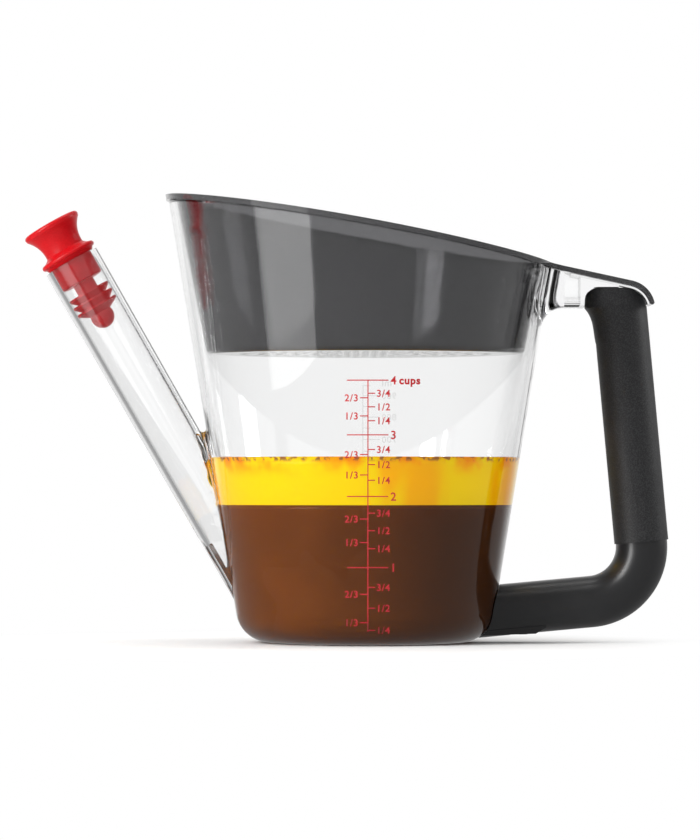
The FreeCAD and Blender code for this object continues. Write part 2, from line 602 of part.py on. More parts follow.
def make_strainer():
    """The see-through basket with its drain holes, sloping lip and tongue."""
    body = new_body("strainer")

    # Tall ring from which the lip is cut
    lip_out = "foot_radius + lip_overhang + wall_slope * "
    lip_in = "basket_floor_radius - basket_wall + basket_slope * "
    low, high = "(lip_blank_low)", "(blank_top)"
    sketch = new_sketch(body, "lip_section", "XZ_Plane")
    outline(sketch, [
        (lip_in + "(" + low + " - basket_floor_height)", low),
        (lip_out + low, low),
        (lip_out + high, high),
        (lip_in + "(" + high + " - basket_floor_height)", high),
    ])
    turned(body, "Revolution", "lip", sketch)

    # Tall block from which the tongue is cut
    sketch = new_sketch(body, "tongue_outline", "XY_Plane")
    half = "(arm_width / 2 + tongue_overlap)"
    tip = "(tongue_tip_x)"
    outline(sketch, [
        ("basket_floor_radius", "-" + half),
        (tip + " - tongue_corner", "-" + half, "tongue_corner", 1),
        (tip, "tongue_corner - " + half),
        (tip, half + " - tongue_corner", "tongue_corner", 1),
        (tip + " - tongue_corner", half),
        ("basket_floor_radius", half),
    ])
    feature(body, "Pad", "tongue", sketch, "Two sides", Length=high, Length2="-" + low)

    def root_edge(edge):
        reach = value(half) - 2 * EDGE_SLACK
        return (on_cone(edge, value("foot_radius + lip_overhang")) and beside(edge, value(half))
                and all(abs(p.y) > reach for p in points_on(edge)))

    round_edges(body, "tongue_root", "tongue_root", root_edge)

    # Leave only a band of lip and tongue under the rim's slope, with a rounded tip
    sketch = new_sketch(body, "under_outline", "XZ_Plane")
    slope = rim_slope("(lip_thick)")
    tip_x, tip_z = rim_slope("0")[-1]
    outline(sketch, slope[:-1] + [
        (slope[-1][0], slope[-1][1], "tip_round", 1),
        (tip_x, tip_z),
        ("tongue_tip_x + cut_past", tip_z),
        ("tongue_tip_x + cut_past", "lip_blank_low - cut_past"),
        ("-rim_reach - cut_past", "lip_blank_low - cut_past"),
        ("-rim_reach - cut_past", slope[0][1]),
    ])
    feature(body, "Pocket", "under_cut", sketch, "Symmetric", Length="4 * rim_reach")

    # Basket, solid, then hollowed
    sketch = new_sketch(body, "basket_section", "XZ_Plane")
    outline(sketch, [
        ("0", "basket_floor_height"),
        ("basket_floor_radius - basket_round", "basket_floor_height", "basket_round", 1),
        ("basket_floor_radius", "basket_floor_height + basket_round"),
        ("basket_floor_radius + basket_slope * (blank_top - basket_floor_height)", "blank_top"),
        ("0", "blank_top"),
    ])
    turned(body, "Revolution", "basket", sketch)
    sketch = new_sketch(body, "hollow_section", "XZ_Plane")
    floor_top = "(basket_floor_height + basket_floor)"
    inner = "basket_floor_radius - basket_wall + basket_slope * "
    outline(sketch, [
        ("0", floor_top),
        (inner + "basket_floor", floor_top),
        (inner + "(blank_top + cut_past - basket_floor_height)", "blank_top + cut_past"),
        ("0", "blank_top + cut_past"),
    ])
    turned(body, "Groove", "hollow", sketch)
    cut_above_rim(body, new_sketch(body, "rim_outline", "XZ_Plane"), "0")

    # Drain holes: one in the middle and rings of six, twelve, eighteen and so on
    hole_depth = "2 * (basket_floor_height + basket_floor + cut_past)"
    sketch = new_sketch(body, "drain_middle", "XY_Plane")
    circle(sketch, "0", "0", "drain_radius")
    feature(body, "Pocket", "drain_middle_cut", sketch, "Symmetric", Length=hole_depth)
    rings = int(value("(basket_floor_radius - basket_wall - drain_margin - drain_radius) / drain_pitch"))
    for ring in range(1, rings + 1):
        sketch = new_sketch(body, "drain_%d" % ring, "XY_Plane")
        circle(sketch, "%d * drain_pitch" % ring, "0", "drain_radius")
        hole = feature(body, "Pocket", "drain_%d_cut" % ring, sketch, "Symmetric", Length=hole_depth)
        pattern = body.newObject("PartDesign::PolarPattern", "drain_ring_%d" % ring)
        pattern.Originals = [hole]
        pattern.Axis = (origin_item(body, "Z_Axis"), [""])
        pattern.Angle = 360
        pattern.Occurrences = 6 * ring
        body.Tip = pattern
    return body


def make_stopper():
    """The soft plug in the spout's mouth, turned about the spout's middle line."""
    body = new_body("stopper")
    sketch = new_sketch(body, "section", "XZ_Plane")
    edge = "(stopper_body_radius)"
    knob_edge = "stopper_knob_radius - stopper_knob_round"
    flange_in = "stopper_flange_radius - stopper_flange_round"
    corners = [
        ("0", "stopper_top - stopper_dish"),
        (knob_edge, "stopper_top", "stopper_knob_round", -1),
        ("stopper_knob_radius", "stopper_top - stopper_knob_round"),
        ("stopper_knob_radius - stopper_knob_taper", "stopper_top - stopper_knob_thick", "stopper_flare", 1),
        ("stopper_waist_radius", "stopper_waist_height", "stopper_waist_curve", 1),
        (flange_in, "stopper_flange_height + stopper_flange_round", "stopper_flange_round", -1),
        ("stopper_flange_radius", "stopper_flange_height", "stopper_flange_round", -1),
        (flange_in, "stopper_flange_height - stopper_flange_round"),
        ("stopper_foot_radius", "seat_gap"),
        (edge, "seat_gap"),
        (edge, "stopper_collar_round - stopper_collar_length", "stopper_collar_round", -1),
        (edge + " - stopper_collar_round", "-stopper_collar_length"),
        ("stopper_neck_radius", "-stopper_collar_length"),
        ("stopper_neck_radius", "stopper_core_top"),
    ]
    ribs = int(value("stopper_rib_count"))
    for rib in range(ribs):
        top = "(stopper_core_top - %d * stopper_rib_pitch)" % rib
        corners += [(edge, top), (edge, top + " - stopper_rib_thick")]
        if rib < ribs - 1:
            corners.append(("stopper_rib_root", top + " - stopper_rib_pitch"))
    corners += [
        (
            "stopper_tail_radius * cos(stopper_tail_start)",
            "stopper_ball + stopper_tail_radius * sin(stopper_tail_start)",
            "stopper_tail_radius",
            -1,
        ),
        ("0", "-stopper_length"),
    ]
    outline(sketch, corners)
    turned(body, "Revolution", "turned", sketch)
    body.Placement.Rotation = FreeCAD.Rotation(FreeCAD.Vector(0, 1, 0), -value("spout_lean"))
    tie(body, "Placement.Base.x", "spout_x")
    tie(body, "Placement.Base.z", "spout_z")
    return body


def stand_on_elbow(body):
    """Turn and place a handle piece: its Z axis runs up the grip, its origin is the elbow's bend centre."""
    body.Placement.Rotation = FreeCAD.Rotation(FreeCAD.Vector(0, 1, 0), -value("handle_lean"))
    tie(body, "Placement.Base.x", "elbow_x")
    tie(body, "Placement.Base.z", "elbow_z")


def upright_sketch(body, name):
    """A sketch in the handle's plane whose axes run level and upright through the jug's origin."""
    sketch = new_sketch(body, name, "XZ_Plane")
    tie(sketch, "AttachmentOffset.Base.x", "-elbow_x * cos(handle_lean) - elbow_z * sin(handle_lean)")
    tie(sketch, "AttachmentOffset.Base.y", "elbow_x * sin(handle_lean) - elbow_z * cos(handle_lean)")
    tie(sketch, "AttachmentOffset.Rotation.Angle", "-handle_lean")
    return sketch


def make_handle_frame():
    """The hard post, elbow and lower arm, with sockets for the jug's peg and lug."""
    body = new_body("handle_frame")
    half_depth, half_width = "frame_depth / 2", "frame_width / 2"

    sketch = new_sketch(body, "elbow_section", "XY_Plane")
    oval(sketch, "elbow_bend", "0", half_depth, half_width)
    turned(body, "Revolution", "elbow", sketch, "V_Axis", "90")

    sketch = new_sketch(body, "arm_section", "YZ_Plane")
    oval(sketch, "0", "-elbow_bend", half_width, half_depth)
    arm = feature(body, "Pad", "lower_arm", sketch, Length="elbow_x - foot_radius + base_round")
    arm.Reversed = True

    sketch = new_sketch(body, "post_section", "XY_Plane")
    oval(sketch, "elbow_bend", "0", "post_depth / 2", "post_width / 2")
    feature(body, "Pad", "post", sketch, Length="post_length")

    # Pad under the joint with the jug
    sketch = upright_sketch(body, "pad_outline")
    outline(sketch, [
        ("base_flat", "pad_height"),
        ("pad_reach", "pad_height + pad_rise"),
        ("pad_reach + pad_step_run", "pad_height + pad_rise + pad_step"),
        ("pad_reach + pad_step_run", "lug_low"),
        ("base_flat", "lug_low"),
    ])
    feature(body, "Pad", "foot_pad", sketch, "Symmetric", Length="pad_width")

    # Cup's shape cut out of the lower arm
    sketch = upright_sketch(body, "cup_section")
    outline(sketch, cup_outline("seat_gap"))
    turned(body, "Groove", "cup_cut", sketch)

    # Sockets for the lug and the peg
    sketch = upright_sketch(body, "lug_socket")
    box(sketch, "base_flat", "lug_reach + fit_gap", "lug_low - fit_gap", "lug_high + fit_gap")
    feature(body, "Pocket", "lug_socket_cut", sketch, "Symmetric", Length="lug_width + 2 * fit_gap")
    sketch = upright_sketch(body, "tenon_socket")
    box(sketch, "tenon_near - fit_gap", "tenon_far + fit_gap", "tenon_foot - fit_gap", "grip_top + cut_past")
    feature(body, "Pocket", "tenon_socket_cut", sketch, "Symmetric", Length="tenon_width + 2 * fit_gap")

    # Screw's hole from below: recess for plug and head, then a clear hole for the shank
    sketch = upright_sketch(body, "screw_recess")
    outline(sketch, [
        ("screw_x", "pad_height - cut_past"),
        ("screw_x + recess_radius", "pad_height - cut_past"),
        ("screw_x + recess_radius", "screw_seat"),
        ("screw_x + screw_radius + screw_play", "screw_seat"),
        ("screw_x + screw_radius + screw_play", "lug_low"),
        ("screw_x", "lug_low"),
    ])
    axis = sketch.addGeometry(Part.LineSegment(
        FreeCAD.Vector(value("screw_x"), 0, 0), FreeCAD.Vector(value("screw_x"), value("lug_low"), 0)), True)
    hold(sketch, axis, 1, "screw_x", "0")
    hold(sketch, axis, 2, "screw_x", "lug_low")
    turned(body, "Groove", "screw_cut", sketch, "Axis0")
    stand_on_elbow(body)
    return body


def loft(body, name, sections):
    """Join sketches by a smooth skin."""
    item = body.newObject("PartDesign::AdditiveLoft", body.Label + "_" + name)
    item.Profile = sections[0]
    item.Sections = sections[1:]
    return item


def make_grip_sleeve():
    """The soft sleeve on the post, with its small nose under the clear arm."""
    body = new_body("grip_sleeve")
    half_depth, half_width = "sleeve_depth / 2", "sleeve_width / 2"

    sketch = new_sketch(body, "tube_section", "XY_Plane")
    oval(sketch, "elbow_bend", "0", half_depth, half_width)
    feature(body, "Pad", "tube", sketch, Length="nose_start")

    sections = []
    for number, (share, rise) in enumerate(FLARE):
        sketch = new_sketch(body, "flare_%d" % number, "XY_Plane")
        reach = "%g * nose_reach / 2" % share
        oval(sketch, "elbow_bend - " + reach, "0", half_depth + " + " + reach, half_width)
        tie(sketch, "AttachmentOffset.Base.z", "nose_start + %g * nose_flare" % rise)
        sections.append(sketch)
    loft(body, "flare", sections)

    sketch = new_sketch(body, "head_section", "XY_Plane")
    oval(sketch, "elbow_bend - nose_reach / 2", "0", half_depth + " + nose_reach / 2", half_width)
    tie(sketch, "AttachmentOffset.Base.z", "nose_height")
    feature(body, "Pad", "head", sketch, Length="grip_top - elbow_z - nose_height + 2 * cut_past")

    # Top rounded towards the cup, and following the tongue on the outer side
    sketch = upright_sketch(body, "top_outline")
    outline(sketch, [
        ("nose_x - cut_past", "grip_top - grip_round"),
        ("nose_x", "grip_top - grip_round", "grip_round", -1),
        ("nose_x + grip_round", "grip_top"),
        ("tongue_tip_x + cut_past", "grip_top"),
        ("tongue_tip_x + cut_past", "grip_top + 4 * cut_past"),
        ("nose_x - cut_past", "grip_top + 4 * cut_past"),
    ])
    feature(body, "Pocket", "top_cut", sketch, "Symmetric", Length="3 * frame_width")
    cut_above_rim(body, upright_sketch(body, "rim_outline"), "(grip_drop)", "seat_gap")

    # Hollow for the post and opening for the peg
    sketch = new_sketch(body, "post_section", "XY_Plane")
    oval(sketch, "elbow_bend", "0", "post_depth / 2 + fit_gap", "post_width / 2 + fit_gap")
    feature(body, "Pocket", "post_hole", sketch, Length="post_length + seat_gap").Reversed = True
    sketch = upright_sketch(body, "tenon_opening")
    box(sketch, "tenon_near - fit_gap", "tenon_far + fit_gap", "tenon_foot", "grip_top + cut_past")
    feature(body, "Pocket", "tenon_hole", sketch, "Symmetric", Length="tenon_width + 2 * fit_gap")
    stand_on_elbow(body)
    return body


def make_handle_screw():
    """The screw that holds the lower arm to the jug's lug."""
    body = new_body("handle_screw")
    sketch = new_sketch(body, "section", "XZ_Plane")
    outline(sketch, [
        ("0", "screw_seat - screw_head_height"),
        ("screw_head_radius - screw_head_round", "screw_seat - screw_head_height", "screw_head_round", 1),
        ("screw_head_radius", "screw_seat - screw_head_height + screw_head_round"),
        ("screw_head_radius", "screw_seat"),
        ("screw_radius", "screw_seat"),
        ("screw_radius", "screw_tip - screw_radius"),
        ("0", "screw_tip"),
    ])
    turned(body, "Revolution", "turned", sketch)
    sketch = new_sketch(body, "cross", "XY_Plane")
    arm, slot = "cross_reach", "cross_half"
    outline(sketch, [
        ("-" + arm, "-" + slot), ("-" + slot, "-" + slot), ("-" + slot, "-" + arm), (slot, "-" + arm),
        (slot, "-" + slot), (arm, "-" + slot), (arm, slot), (slot, slot),
        (slot, arm), ("-" + slot, arm), ("-" + slot, slot), ("-" + arm, slot),
    ])
    tie(sketch, "AttachmentOffset.Base.z", "screw_seat - screw_head_height - cut_past")
    feature(body, "Pocket", "cross_cut", sketch, Length="cross_depth + cut_past").Reversed = True
    tie(body, "Placement.Base.x", "screw_x")
    return body


def make_screw_plug():
    """The plug that closes the screw's recess."""
    body = new_body("screw_plug")
    sketch = new_sketch(body, "disc", "XY_Plane")
    circle(sketch, "0", "0", "recess_radius - plug_play")
    tie(sketch, "AttachmentOffset.Base.z", "screw_seat - screw_head_height - plug_gap - plug_thick")
    feature(body, "Pad", "plug", sketch, Length="plug_thick")
    tie(body, "Placement.Base.x", "screw_x")
    return body


pieces = [
    make_jug(),
    make_strainer(),
    make_stopper(),
    make_handle_frame(),
    make_grip_sleeve(),
    make_handle_screw(),
    make_screw_plug(),
]
doc.recompute()

for item in doc.Objects:
    if "Invalid" in item.State or "Error" in item.State:
        raise RuntimeError("%s did not build: %s" % (item.Name, item.State))
os.makedirs("parts", exist_ok=True)
for piece in pieces:
    if piece.Shape.isNull() or not piece.Shape.isValid():
        raise RuntimeError("%s has no valid solid" % piece.Label)
    piece.Shape.exportStep(os.path.join("parts", piece.Label + ".step"))
    print(piece.Label, len(piece.Shape.Solids), round(piece.Shape.Volume))
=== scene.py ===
"""Gravy separator: surfaces, liquids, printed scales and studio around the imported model."""

import math

import bmesh
import bpy
from bpy.props import BoolProperty, FloatProperty, FloatVectorProperty, PointerProperty
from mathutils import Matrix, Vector
from mathutils.bvhtree import BVHTree


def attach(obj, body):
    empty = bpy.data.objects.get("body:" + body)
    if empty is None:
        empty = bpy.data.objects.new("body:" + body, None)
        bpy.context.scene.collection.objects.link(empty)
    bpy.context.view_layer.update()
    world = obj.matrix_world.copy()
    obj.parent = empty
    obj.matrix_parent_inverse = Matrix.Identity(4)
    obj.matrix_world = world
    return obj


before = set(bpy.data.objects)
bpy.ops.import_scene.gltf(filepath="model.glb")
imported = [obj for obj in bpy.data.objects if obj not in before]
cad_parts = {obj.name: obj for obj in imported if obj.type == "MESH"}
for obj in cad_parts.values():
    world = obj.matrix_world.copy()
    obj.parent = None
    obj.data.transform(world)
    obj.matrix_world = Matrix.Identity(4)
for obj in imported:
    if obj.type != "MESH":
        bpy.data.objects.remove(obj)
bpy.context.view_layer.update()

bl_info = {
    "name": "Gravy separator",
    "version": (1, 0, 0),
    "blender": (4, 5, 0),
    "location": "3D View > Sidebar > Separator",
    "description": "Dresses the packed gravy separator and sets up its studio",
    "category": "Object",
}

BODY = "jug_and_handle"
MM = 0.001
WHITE = (1, 1, 1, 1)
CUP_VOLUME = 236.588e-6  # cubic metres
MILLILITRE = 1e-6
CUP_WALL = 2.5 * MM
RAY_START = 0.3  # distance from the middle line, well outside the cup

# Fixed tones of the materials, and what smudges, wear, dust and depth bring out
CLEAR_SMUDGE = (0.96, 0.965, 0.965, 1)
CLEAR_DEPTH = (0.50, 0.47, 0.52, 1)
SMOKE = (0.35, 0.35, 0.36, 1)
SMOKE_SMUDGE = (0.46, 0.46, 0.47, 1)
SILICONE_DUST = (0.42, 0.006, 0.010, 1)
HARD_RUBBED = (0.05, 0.05, 0.052, 1)
SOFT_DIPS = (0.048, 0.048, 0.050, 1)
STEEL = (0.58, 0.58, 0.59, 1)
STEEL_DIPS = (0.48, 0.48, 0.49, 1)
INK_WORN = (0.78, 0.05, 0.05, 1)
INK_BACK = (0.70, 0.68, 0.68, 1)
GRAVY_BASE = (0.10, 0.018, 0.004, 1)
FAT_FLECK = (0.30, 0.11, 0.03, 1)
BOARD = (0.87, 0.87, 0.87, 1)
BOARD_GRAIN = (0.90, 0.90, 0.90, 1)

# Printed scales: distances from the upright line, and shares of a number's height
WHOLE_LEFT, WHOLE_RIGHT, WHOLE_NUMBER = 7.9 * MM, 7.7 * MM, 8.5 * MM
CUPS_PLACE = 11.7 * MM
FRACTIONS = (  # names, side of the line, length of the mark, place of the name, alignment
    (("1/4", "1/2", "3/4"), 1, 2.7 * MM, 3.2 * MM, "LEFT"),
    (("1/3", "2/3"), -1, 3.0 * MM, 3.6 * MM, "RIGHT"),
)
HUNDRED_MARK, HUNDRED_NUMBER, FIFTY_MARK = 7.0 * MM, 7.8 * MM, 3.0 * MM
MILLILITRES_RISE = 1.2 * MM  # height of the unit's name over the last mark
UNIT_SIZE = 0.9
BOLD = 0.06
REGULAR = 0.025

# Lamps: place, height aimed at over the cup's middle, width and height, watts
LAMPS = {
    "left_panel": ((-0.62, -0.46, 0.30), 0.09, (0.17, 0.6), 5.0),
    "low_panel": ((-0.312, -0.28, 0.065), 0.065, (0.25, 0.13), 0.17),
    "key": ((-1.0, -0.9, 0.9), 0.09, (0.5, 0.5), 7.0),
    "right_panel": ((1.0, 0.25, 0.50), 0.09, (0.3, 0.5), 4.0),
    "over": ((0.0, 0.1, 1.3), 0.09, (1.2, 1.0), 7.5),
}
BACKDROP_EDGE = (0.65, 0.96)  # where reflections turn from room to backdrop, 1 being straight behind


class SeparatorFinish(bpy.types.PropertyGroup):
    """Colours of the plastics, the silicone and the print."""

    clear: FloatVectorProperty(
        name="Clear plastic", description="Tint of the jug", subtype="COLOR", size=3, min=0, max=1,
        default=(0.998, 1.0, 1.0))
    clear_depth: FloatProperty(
        name="Clear depth", description="How fast the jug's plastic takes light, per metre", default=4.0)
    smoke: FloatVectorProperty(
        name="Smoke plastic", description="Tint of the strainer", subtype="COLOR", size=3, min=0, max=1,
        default=(0.075, 0.07, 0.09))
    smoke_depth: FloatProperty(
        name="Smoke depth", description="How fast the strainer's plastic takes light, per metre",
        default=520.0)
    silicone: FloatVectorProperty(
        name="Silicone", description="Colour of the stopper", subtype="COLOR", size=3, min=0, max=1,
        default=(0.30, 0.002, 0.004))
    hard: FloatVectorProperty(
        name="Hard black", description="Colour of the elbow and lower arm", subtype="COLOR", size=3,
        min=0, max=1, default=(0.016, 0.016, 0.017))
    soft: FloatVectorProperty(
        name="Soft black", description="Colour of the grip", subtype="COLOR", size=3, min=0, max=1,
        default=(0.015, 0.015, 0.016))
    ink: FloatVectorProperty(
        name="Ink", description="Colour of the printed scales", subtype="COLOR", size=3, min=0, max=1,
        default=(0.42, 0.004, 0.010))


class SeparatorLiquids(bpy.types.PropertyGroup):
    """What the jug holds in the photograph."""

    shown: BoolProperty(name="Show liquids", description="Fill the jug with gravy and fat", default=True)
    gravy_top: FloatProperty(
        name="Gravy top", description="Height of the gravy's surface", unit="LENGTH", default=0.0536)
    fat_top: FloatProperty(
        name="Fat top", description="Height of the fat's surface", unit="LENGTH", default=0.0720)
    contact: FloatProperty(
        name="Contact", description="How far the liquids reach into the wall, so that no air film shows",
        unit="LENGTH", default=0.00008)
    gravy: FloatVectorProperty(
        name="Gravy", description="Colour of the gravy", subtype="COLOR", size=3, min=0, max=1,
        default=(0.245, 0.063, 0.004))
    # Painted shade: a darker gravy colour blended in towards the handle's side, away from the lamps on
    # the left
    gravy_shade: FloatVectorProperty(
        name="Gravy in shade", description="Colour of the gravy on the handle's side", subtype="COLOR",
        size=3, min=0, max=1, default=(0.092, 0.026, 0.002))
    fat: FloatVectorProperty(
        name="Fat", description="Colour of the fat", subtype="COLOR", size=3, min=0, max=1,
        default=(0.90, 0.66, 0.0))
    fat_edge: FloatVectorProperty(
        name="Fat at its edge", description="Colour of the fat where it looks deeper", subtype="COLOR",
        size=3, min=0, max=1, default=(0.90, 0.28, 0.0))


class SeparatorScale(bpy.types.PropertyGroup):
    """The printed scales on the front and the back of the cup."""

    middle: FloatProperty(
        name="Middle", description="X of the scale's upright line", unit="LENGTH", default=0.0008)
    one_cup: FloatProperty(
        name="One cup", description="Height of the one cup mark", unit="LENGTH", default=0.0299)
    foot: FloatProperty(
        name="Foot", description="Height of the upright line's lower end", unit="LENGTH", default=0.0055)
    line: FloatProperty(
        name="Line", description="Width of the printed lines", unit="LENGTH", default=0.00042)
    lift: FloatProperty(
        name="Lift", description="Height of the ink above the wall", unit="LENGTH", default=0.00006)
    small_text: FloatProperty(
        name="Fractions", description="Height of the fractions", unit="LENGTH", default=0.0026)
    large_text: FloatProperty(
        name="Numbers", description="Height of the whole numbers", unit="LENGTH", default=0.0031)
    spacing: FloatProperty(name="Spacing", description="Spacing of the letters", default=1.12)


class SeparatorStudio(bpy.types.PropertyGroup):
    """Camera and light."""

    distance: FloatProperty(
        name="Distance", description="Camera to the cup's middle", unit="LENGTH", default=1.866)
    aside: FloatProperty(
        name="Aside", description="X of the camera", unit="LENGTH", default=-0.00595)
    eye: FloatProperty(
        name="Eye height", description="Height of the camera", unit="LENGTH", default=0.06526)
    lens: FloatProperty(name="Lens", description="Focal length in millimetres", default=205.7)
    shift: FloatProperty(
        name="Shift", description="Upward shift, as a share of the picture's height", default=0.0643)
    room: FloatProperty(name="Room", description="Light of the room on surfaces", default=0.55)
    room_mirrored: FloatProperty(
        name="Room in reflections", description="Light of the room in reflections", default=0.34)


def ray_tree(name):
    """A search tree of a CAD node's surface."""
    return BVHTree.FromObject(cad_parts[name], bpy.context.evaluated_depsgraph_get())


def wall_point(tree, across, height, side):
    """The cup's outer surface at (across, height), seen from the front (side -1) or the back (side 1)."""
    start = Vector((across, side * RAY_START, height))
    place, normal, _, _ = tree.ray_cast(start, Vector((0, -side, 0)))
    return place, normal


def cup_radius(tree, height):
    """Outside radius of the cup at a height, measured on its front."""
    place, _ = wall_point(tree, 0, height, -1)
    return abs(place.y)


def mesh_object(name, bm):
    """Turn a bmesh into an object that rides on the jug."""
    mesh = bpy.data.meshes.new(name)
    bm.to_mesh(mesh)
    bm.free()
    item = bpy.data.objects.new(name, mesh)
    bpy.context.scene.collection.objects.link(item)
    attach(item, BODY)
    return item


# Node helpers

def plug(tree, socket, given):
    """Link another node's output to a socket, or set the socket to a number or colour."""
    if isinstance(given, bpy.types.NodeSocket):
        tree.links.new(given, socket)
    else:
        socket.default_value = given


def node(tree, kind, **inputs):
    """Add a node and set its inputs."""
    item = tree.nodes.new(kind)
    for key, given in inputs.items():
        plug(tree, item.inputs[key.replace("_", " ")], given)
    return item


def math_node(tree, operation, first, second=0.0, clamp=False):
    """Add a math node and return its output."""
    item = tree.nodes.new("ShaderNodeMath")
    item.operation = operation
    item.use_clamp = clamp
    plug(tree, item.inputs[0], first)
    plug(tree, item.inputs[1], second)
    return item.outputs[0]


def vector_node(tree, operation, first, second=(0, 0, 0)):
    """Add a vector math node and return it."""
    item = tree.nodes.new("ShaderNodeVectorMath")
    item.operation = operation
    plug(tree, item.inputs[0], first)
    plug(tree, item.inputs[1], second)
    return item


def blend_colour(tree, share, first, second):
    """Blend two colours and return the result."""
    item = tree.nodes.new("ShaderNodeMix")
    item.data_type = "RGBA"
    factor, colour_a, colour_b, result = 0, 6, 7, 2  # the node's sockets for colours
    for number, given in ((factor, share), (colour_a, first), (colour_b, second)):
        plug(tree, item.inputs[number], given)
    return item.outputs[result]


def blend_shader(tree, share, first, second):
    """Blend two shaders' outputs and return the result."""
    item = tree.nodes.new("ShaderNodeMixShader")
    for socket, given in zip(item.inputs, (share, first, second)):
        tree.links.new(given, socket)
    return item.outputs[0]


def noise(tree, place, scale, detail, **more):
    """Noise over a surface."""
    return node(tree, "ShaderNodeTexNoise", Vector=place, Scale=scale, Detail=detail, **more).outputs[0]


def parts_of(tree, vector):
    """The X, Y and Z of a vector."""
    return node(tree, "ShaderNodeSeparateXYZ", Vector=vector).outputs


def between(tree, given, low, high, first=0.0, second=1.0):
    """Map a value from low..high to first..second, smoothly and clamped."""
    item = tree.nodes.new("ShaderNodeMapRange")
    item.interpolation_type = "SMOOTHSTEP"
    tree.links.new(given, item.inputs["Value"])
    for key, number in (("From Min", low), ("From Max", high), ("To Min", first), ("To Max", second)):
        item.inputs[key].default_value = number
    return item.outputs[0]


def opaque(colour):
    """A colour with full alpha."""
    return (*colour, 1.0)


def effect_group(name, inputs, outputs):
    """A shader group with named number sockets, its two ends and the place on the object."""
    group = bpy.data.node_groups.new(name, "ShaderNodeTree")
    for title, default in inputs:
        socket = group.interface.new_socket(title, in_out="INPUT", socket_type="NodeSocketFloat")
        socket.default_value = default
    for title in outputs:
        group.interface.new_socket(title, in_out="OUTPUT", socket_type="NodeSocketFloat")
    start = group.nodes.new("NodeGroupInput")
    end = group.nodes.new("NodeGroupOutput")
    place = group.nodes.new("ShaderNodeTexCoord").outputs["Object"]
    return group, start, end, place


def grain_group():
    """Fine moulded grain: height for a bump, and a mask of its dips."""
    found = bpy.data.node_groups.get("moulded grain")
    if found:
        return found
    group, start, end, place = effect_group(
        "moulded grain", [("Scale", 900.0), ("Waviness", 0.3)], ["Height", "Dips"])
    fine = noise(group, place, start.outputs["Scale"], 3.0)
    wide = noise(group, place, 26.0, 1.0)
    wave = math_node(group, "MULTIPLY", wide, start.outputs["Waviness"])
    group.links.new(math_node(group, "ADD", fine, wave), end.inputs["Height"])
    group.links.new(between(group, fine, 0.35, 0.6, 1.0, 0.0), end.inputs["Dips"])
    return group


def handling_group():
    """Faint smudges and hair scratches from use: a roughness that changes over the surface."""
    found = bpy.data.node_groups.get("handling marks")
    if found:
        return found
    group, start, end, place = effect_group(
        "handling marks", [("Roughness", 0.1), ("Smudge", 0.1), ("Scratch", 0.05)],
        ["Roughness", "Marks"])
    cloud = noise(group, place, 38.0, 4.0, Roughness=0.6)
    smudge = between(group, cloud, 0.48, 0.72)
    stretch = node(group, "ShaderNodeMapping", Vector=place, Scale=(40.0, 40.0, 900.0))
    hairs = noise(group, stretch.outputs[0], 2.0, 2.0)
    scratch = between(group, hairs, 0.66, 0.74)
    marks = math_node(group, "ADD", math_node(group, "MULTIPLY", smudge, start.outputs["Smudge"]),
                      math_node(group, "MULTIPLY", scratch, start.outputs["Scratch"]))
    rough = math_node(group, "ADD", start.outputs["Roughness"], marks, clamp=True)
    group.links.new(rough, end.inputs["Roughness"])
    group.links.new(marks, end.inputs["Marks"])
    return group


def use_group(tree, group, **inputs):
    """Place an effect group in a material with its own values."""
    item = tree.nodes.new("ShaderNodeGroup")
    item.node_tree = group
    for title, given in inputs.items():
        item.inputs[title].default_value = given
    return item


def new_material(name):
    """A material with nodes, its tree and its Principled shader."""
    material = bpy.data.materials.new(name)
    material.use_nodes = True
    tree = material.node_tree
    return material, tree, tree.nodes["Principled BSDF"]


def set_numbers(shader, **numbers):
    """Set a shader's sockets to numbers or colours that are the same all over."""
    for key, given in numbers.items():
        shader.inputs[key.replace("_", " ")].default_value = given


def plug_bump(tree, shader, grain, strength, distance):
    """Feed the grain's height into the shader's normal through a bump."""
    height = grain.outputs["Height"]
    bump = node(tree, "ShaderNodeBump", Height=height, Strength=strength, Distance=distance)
    tree.links.new(bump.outputs[0], shader.inputs["Normal"])


def plug_depth(tree, colour, density):
    """Let the inside of a clear solid take light, so that thick places look darker than thin ones."""
    inside = node(tree, "ShaderNodeVolumeAbsorption", Color=colour, Density=density)
    tree.links.new(inside.outputs[0], tree.nodes["Material Output"].inputs["Volume"])


def plug_surface(tree, shader, colour, marks):
    """Feed a changing colour and the roughness of the handling marks into the shader."""
    tree.links.new(colour, shader.inputs["Base Color"])
    tree.links.new(marks.outputs["Roughness"], shader.inputs["Roughness"])


def clear_plastic(finish):
    """Polished clear plastic with faint smudges and the slight ripple of a moulding."""
    material, tree, shader = new_material("clear_plastic")
    marks = use_group(tree, handling_group(), Roughness=0.004, Smudge=0.02, Scratch=0.012)
    grain = use_group(tree, grain_group(), Scale=30.0, Waviness=2.0)
    haze = blend_colour(tree, marks.outputs["Marks"], opaque(finish.clear), CLEAR_SMUDGE)
    plug_surface(tree, shader, haze, marks)
    set_numbers(shader, Transmission_Weight=1.0, Specular_IOR_Level=0.3, IOR=1.47)
    plug_bump(tree, shader, grain, 0.012, 0.4 * MM)
    plug_depth(tree, CLEAR_DEPTH, finish.clear_depth)
    return material


